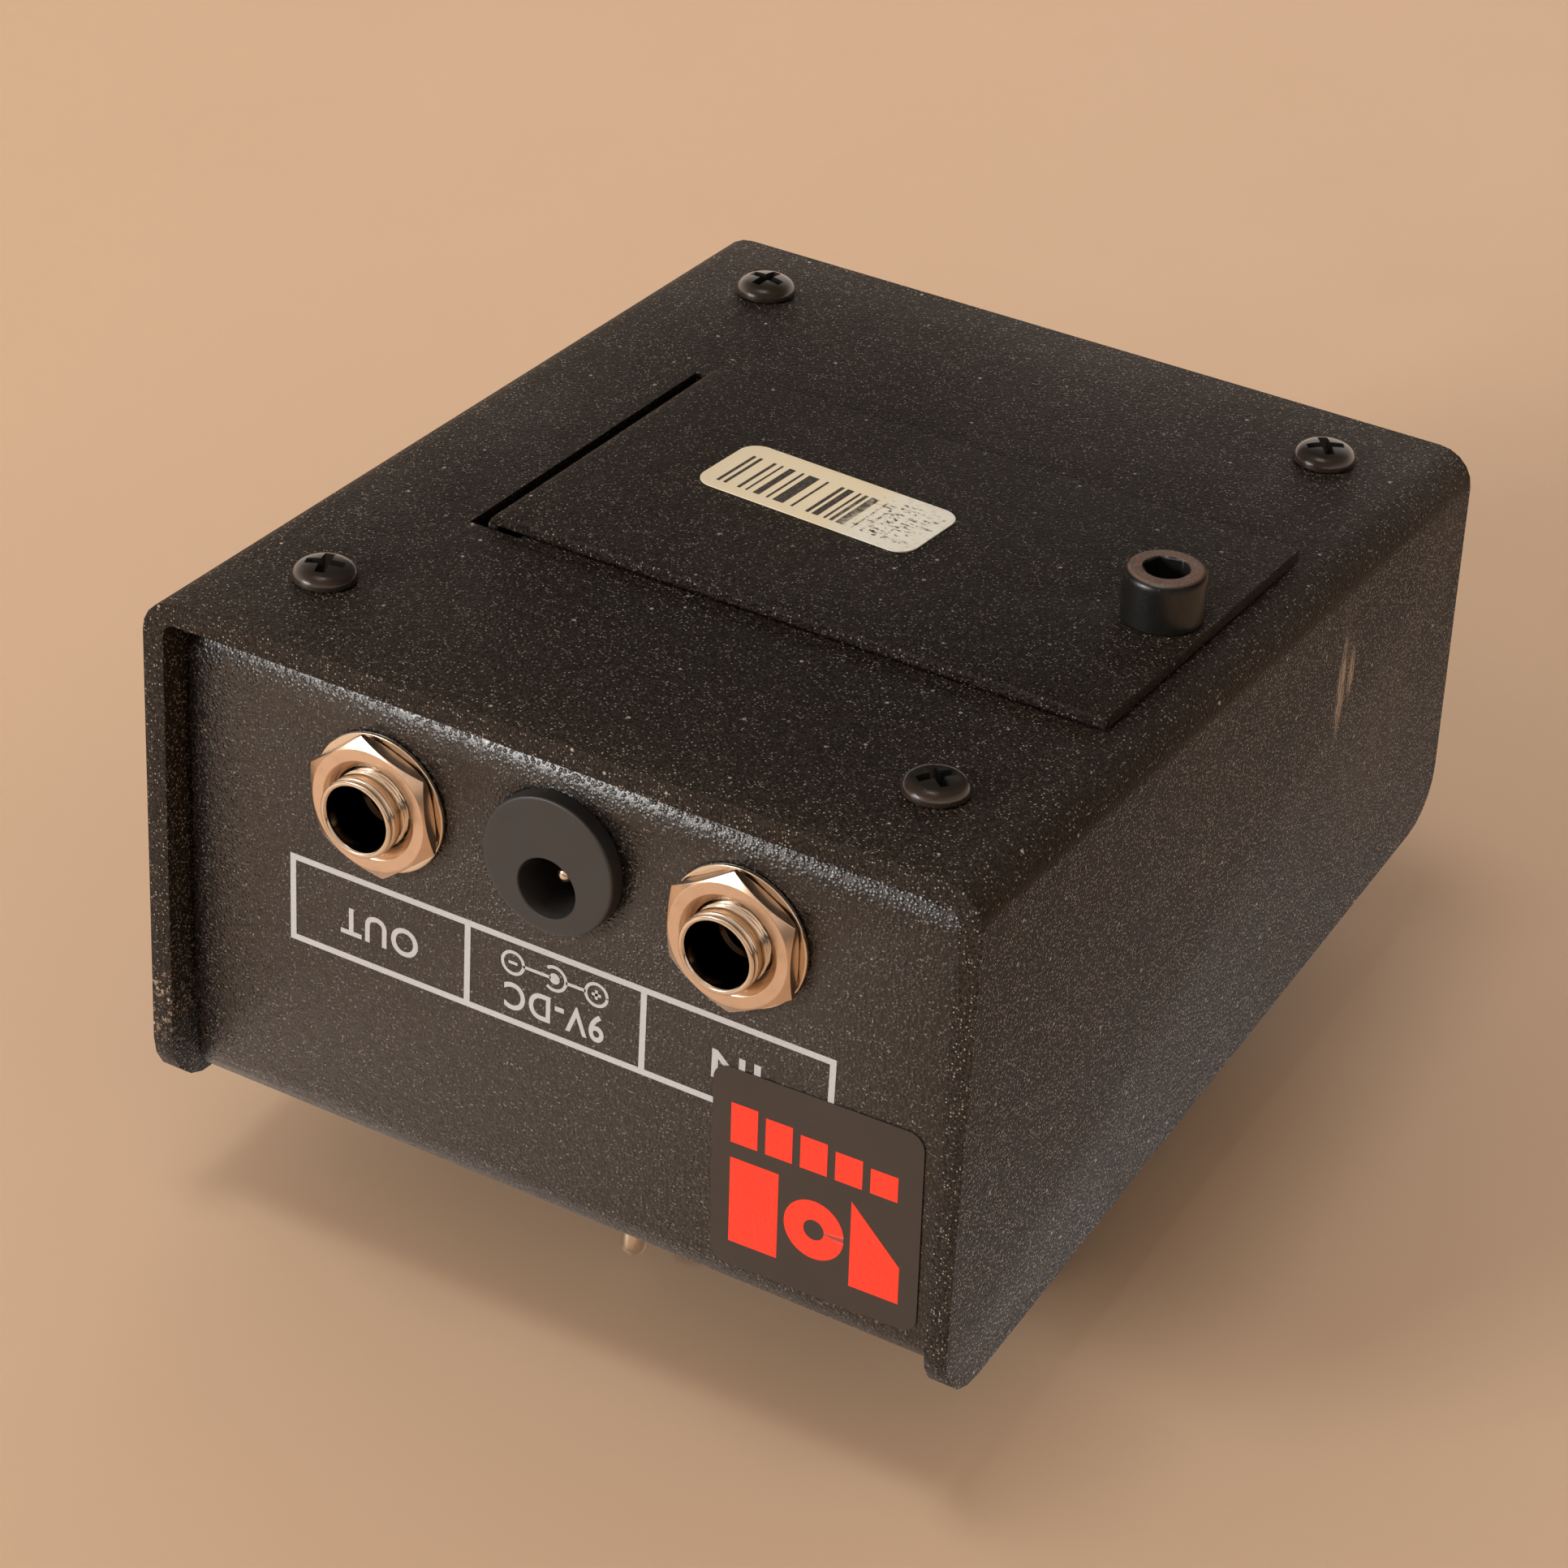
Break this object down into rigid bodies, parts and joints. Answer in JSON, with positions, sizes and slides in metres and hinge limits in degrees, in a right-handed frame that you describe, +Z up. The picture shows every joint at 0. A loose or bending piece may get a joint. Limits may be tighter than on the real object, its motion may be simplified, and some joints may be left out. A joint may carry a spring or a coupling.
{
  "type": "effects pedal",
  "caption": "Foot-operated effects pedal in a folded steel case, with phone jacks, a power inlet, turning knobs, a footswitch, a toggle and a screwed battery door in its base.",
  "frame": {"origin": "middle of the whole object's outline, on the surface that its lowest screw head stands on", "axes": "+X to the player's right, +Y away from the player towards the jacks, +Z up out of the base"},
  "size_m": [0.107, 0.1254, 0.0883],
  "materials": {
    "coarse_coat": "coarse speckled matte powder coat",
    "leather_coat": "leather-grain semi-gloss powder coat",
    "black_oxide": "black oxide with light rust on the rims",
    "nickel": "bright nickel plate",
    "steel": "plain zinc-plated steel",
    "brass": "spring brass",
    "matte_plastic": "matte moulded plastic",
    "knob_plastic": "semi-gloss moulded plastic",
    "label_film": "cream label with printed bars",
    "sticker_film": "dark sticker with a red-orange print",
    "lamp_lens": "clear red resin",
    "board_resin": "green solder mask",
    "phenolic": "brown phenolic sheet",
    "film_block": "dipped resin",
    "blue_sleeve": "shrunk sleeve",
    "resistor_body": "resistor lacquer with bands",
    "battery_can": "printed battery jacket",
    "red_insulation": "red wire insulation",
    "black_insulation": "black wire insulation"
  },
  "bodies": {
    "case": {"base_cover": "coarse_coat", "chassis": "leather_coat", "cover_screw_1": "black_oxide", "cover_screw_2": "black_oxide", "cover_screw_3": "black_oxide", "cover_screw_4": "black_oxide", "door_nut": "steel", "footswitch_body": "steel", "toggle_body": "steel", "maker_sticker": "sticker_film", "battery": "battery_can", "battery_snap": "matte_plastic", "dc_inlet_body": "matte_plastic", "dc_inlet_nut": "matte_plastic", "op_amp": "matte_plastic", "battery_lead_red": "red_insulation", "battery_lead_black": "black_insulation", "jack_in_lead": "black_insulation", "jack_out_lead": "black_insulation", "jack_in_sleeve": "nickel", "jack_in_washer": "nickel", "jack_in_nut": "nickel", "jack_in_wafer": "phenolic", "jack_in_tip_spring": "brass", "jack_out_sleeve": "nickel", "jack_out_washer": "nickel", "jack_out_nut": "nickel", "jack_out_wafer": "phenolic", "jack_out_tip_spring": "brass", "pot_left_body": "steel", "pot_left_nut": "nickel", "pot_middle_body": "steel", "pot_middle_nut": "nickel", "pot_right_body": "steel", "pot_right_nut": "nickel", "dc_inlet_pin": "nickel", "footswitch_washer": "nickel", "footswitch_nut": "nickel", "toggle_nut": "nickel", "lamp_bezel": "nickel", "lamp": "lamp_lens", "circuit_board": "board_resin", "electrolytic_cap_1": "blue_sleeve", "electrolytic_cap_2": "blue_sleeve", "film_cap_1": "film_block", "film_cap_2": "film_block", "resistor_1": "resistor_body", "resistor_2": "resistor_body"},
    "battery_door": {"battery_door": "coarse_coat", "door_screw": "black_oxide", "id_label": "label_film"},
    "left_knob": {"knob_left": "knob_plastic", "pot_left_shaft": "steel"},
    "middle_knob": {"knob_middle": "knob_plastic", "pot_middle_shaft": "steel"},
    "right_knob": {"knob_right": "knob_plastic", "pot_right_shaft": "steel"},
    "footswitch_button": {"footswitch_plunger": "nickel"},
    "toggle_lever": {"toggle_lever": "nickel"}
  },
  "joints": [
    {"name": "battery_door_hinge", "type": "hinge", "parent": "case", "child": "battery_door", "pos_m": [-0.032, 0.001, 0.008], "axis": [0, 1, 0], "range_deg": [0, 40]},
    {"name": "left_knob_turn", "type": "hinge", "parent": "case", "child": "left_knob", "pos_m": [-0.031, 0.02578, 0.07007], "axis": [0, -0.1303, 0.9915], "range_deg": [-150, 150]},
    {"name": "middle_knob_turn", "type": "hinge", "parent": "case", "child": "middle_knob", "pos_m": [0, 0.02578, 0.07007], "axis": [0, -0.1303, 0.9915], "range_deg": [-150, 150]},
    {"name": "right_knob_turn", "type": "hinge", "parent": "case", "child": "right_knob", "pos_m": [0.031, 0.02578, 0.07007], "axis": [0, -0.1303, 0.9915], "range_deg": [-150, 150]},
    {"name": "footswitch_press", "type": "slide", "parent": "case", "child": "footswitch_button", "axis": [0, 0.1303, -0.9915], "range_m": [0, 0.0025], "stiffness_N_per_m": 1500, "springref_m": -0.002},
    {"name": "toggle_flip", "type": "hinge", "parent": "case", "child": "toggle_lever", "pos_m": [0.002, 0.04125, 0.07513], "axis": [1, 0, 0], "range_deg": [0, 24]}
  ]
}
